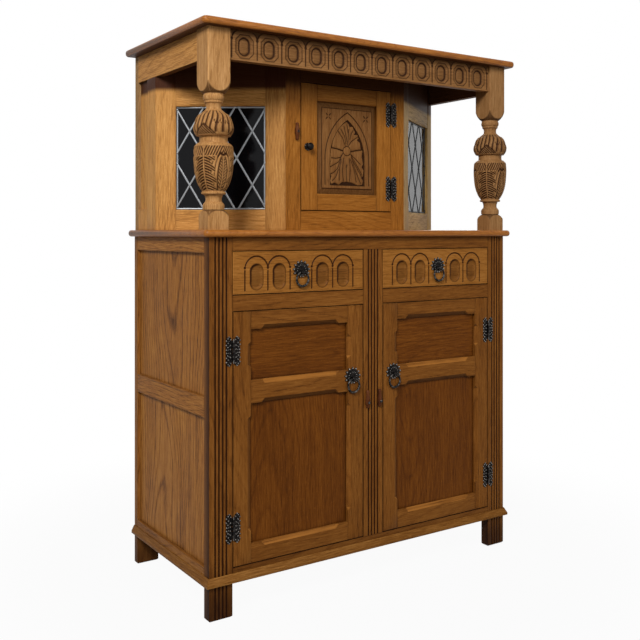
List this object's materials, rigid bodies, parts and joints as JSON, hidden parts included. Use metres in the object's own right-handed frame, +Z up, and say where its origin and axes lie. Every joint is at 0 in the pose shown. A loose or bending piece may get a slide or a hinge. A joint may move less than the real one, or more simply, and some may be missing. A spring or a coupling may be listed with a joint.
{
  "type": "court cupboard",
  "caption": "Oak court cupboard with two drawers over panelled doors, and a recessed canted upper cupboard with leaded windows under a carved canopy on turned posts.",
  "frame": {"origin": "middle of the outline on the floor, under the whole cupboard", "axes": "+X to the right seen from the front, +Y from the doors towards the back, +Z up"},
  "size_m": [0.98, 0.469, 1.37],
  "materials": {
    "oak_board": "satin golden brown oak",
    "oak_frame": "satin golden brown oak",
    "oak_turned": "satin oak, darker in the hollows",
    "oak_panel": "satin redder brown oak",
    "oak_drawer": "satin orange brown oak",
    "oak_plain": "unpolished",
    "dark_wood": "dark reddish polish",
    "antique_iron": "dark antique with pewter highlights",
    "window_glass": "clear, slightly grey",
    "lead_came": "dull lead grey"
  },
  "bodies": {
    "case": {"top_board": "oak_board", "waist_board": "oak_board", "front_post_left": "oak_frame", "front_post_right": "oak_frame", "rear_post_left": "oak_frame", "rear_post_right": "oak_frame", "side_rails_left": "oak_frame", "side_rails_right": "oak_frame", "side_panels_left": "oak_panel", "side_panels_right": "oak_panel", "front_rails": "oak_frame", "centre_muntin": "oak_frame", "base_moulding": "oak_frame", "rear_rails": "oak_plain", "lower_back_panel": "oak_plain", "cupboard_floor": "oak_plain", "cupboard_shelf": "oak_plain", "shelf_bearers": "oak_plain", "drawer_runners": "oak_plain", "door_stops": "oak_plain", "frieze_front": "oak_frame", "frieze_sides": "oak_frame", "baluster_left": "oak_turned", "baluster_right": "oak_turned", "canted_frame_left": "oak_frame", "canted_frame_right": "oak_frame", "window_glass_left": "window_glass", "window_glass_right": "window_glass", "lead_lattice_left": "lead_came", "lead_lattice_right": "lead_came", "return_frames": "oak_frame", "upper_front_frame": "oak_frame", "upper_back_frame": "oak_frame", "upper_back_panel": "oak_plain", "upper_shelf": "oak_plain", "hinge_leaves_fixed": "antique_iron", "turn_button_screws": "antique_iron"},
    "door_left": {"door_left_frame": "oak_frame", "door_left_panels": "oak_panel", "door_left_ironwork": "antique_iron"},
    "door_right": {"door_right_frame": "oak_frame", "door_right_panels": "oak_panel", "door_right_ironwork": "antique_iron"},
    "upper_door": {"upper_door_frame": "oak_frame", "upper_door_panel": "oak_panel", "upper_door_knob": "antique_iron", "upper_door_hinge_leaves": "antique_iron"},
    "drawer_left": {"drawer_left_front": "oak_drawer", "drawer_left_box": "oak_plain", "drawer_left_pull_plate": "antique_iron"},
    "drawer_right": {"drawer_right_front": "oak_drawer", "drawer_right_box": "oak_plain", "drawer_right_pull_plate": "antique_iron"},
    "ring_door_left": {"door_left_pull_ring": "antique_iron"},
    "ring_door_right": {"door_right_pull_ring": "antique_iron"},
    "ring_drawer_left": {"drawer_left_pull_ring": "antique_iron"},
    "ring_drawer_right": {"drawer_right_pull_ring": "antique_iron"},
    "button_left": {"turn_button_left": "dark_wood"},
    "button_right": {"turn_button_right": "dark_wood"},
    "button_upper": {"turn_button_upper": "dark_wood"}
  },
  "joints": [
    {"name": "door_left_hinge", "type": "hinge", "parent": "case", "child": "door_left", "pos_m": [-0.40425, -0.2131, 0.4], "axis": [0, 0, -1], "range_deg": [0, 110]},
    {"name": "door_right_hinge", "type": "hinge", "parent": "case", "child": "door_right", "pos_m": [0.40425, -0.2131, 0.4], "axis": [0, 0, 1], "range_deg": [0, 110]},
    {"name": "upper_door_hinge", "type": "hinge", "parent": "case", "child": "upper_door", "pos_m": [0.14725, -0.1006, 1.1], "axis": [0, 0, 1], "range_deg": [0, 110]},
    {"name": "drawer_left_slide", "type": "slide", "parent": "case", "child": "drawer_left", "axis": [0, -1, 0], "range_m": [0, 0.28]},
    {"name": "drawer_right_slide", "type": "slide", "parent": "case", "child": "drawer_right", "axis": [0, -1, 0], "range_m": [0, 0.28]},
    {"name": "door_left_ring_swing", "type": "hinge", "parent": "door_left", "child": "ring_door_left", "pos_m": [-0.0655, -0.2159, 0.516], "axis": [-1, 0, 0], "range_deg": [0, 110]},
    {"name": "door_right_ring_swing", "type": "hinge", "parent": "door_right", "child": "ring_door_right", "pos_m": [0.0655, -0.2159, 0.516], "axis": [-1, 0, 0], "range_deg": [0, 110]},
    {"name": "drawer_left_ring_swing", "type": "hinge", "parent": "drawer_left", "child": "ring_drawer_left", "pos_m": [-0.218, -0.2159, 0.7875], "axis": [-1, 0, 0], "range_deg": [0, 110]},
    {"name": "drawer_right_ring_swing", "type": "hinge", "parent": "drawer_right", "child": "ring_drawer_right", "pos_m": [0.218, -0.2159, 0.7875], "axis": [-1, 0, 0], "range_deg": [0, 110]},
    {"name": "button_left_turn", "type": "hinge", "parent": "case", "child": "button_left", "pos_m": [-0.019, -0.2095, 0.452], "axis": [0, 1, 0], "range_deg": [-90, 0]},
    {"name": "button_right_turn", "type": "hinge", "parent": "case", "child": "button_right", "pos_m": [0.019, -0.2095, 0.452], "axis": [0, -1, 0], "range_deg": [-90, 0]},
    {"name": "button_upper_turn", "type": "hinge", "parent": "case", "child": "button_upper", "pos_m": [-0.16, -0.097, 1.143], "axis": [0, 1, 0], "range_deg": [-90, 0]}
  ]
}
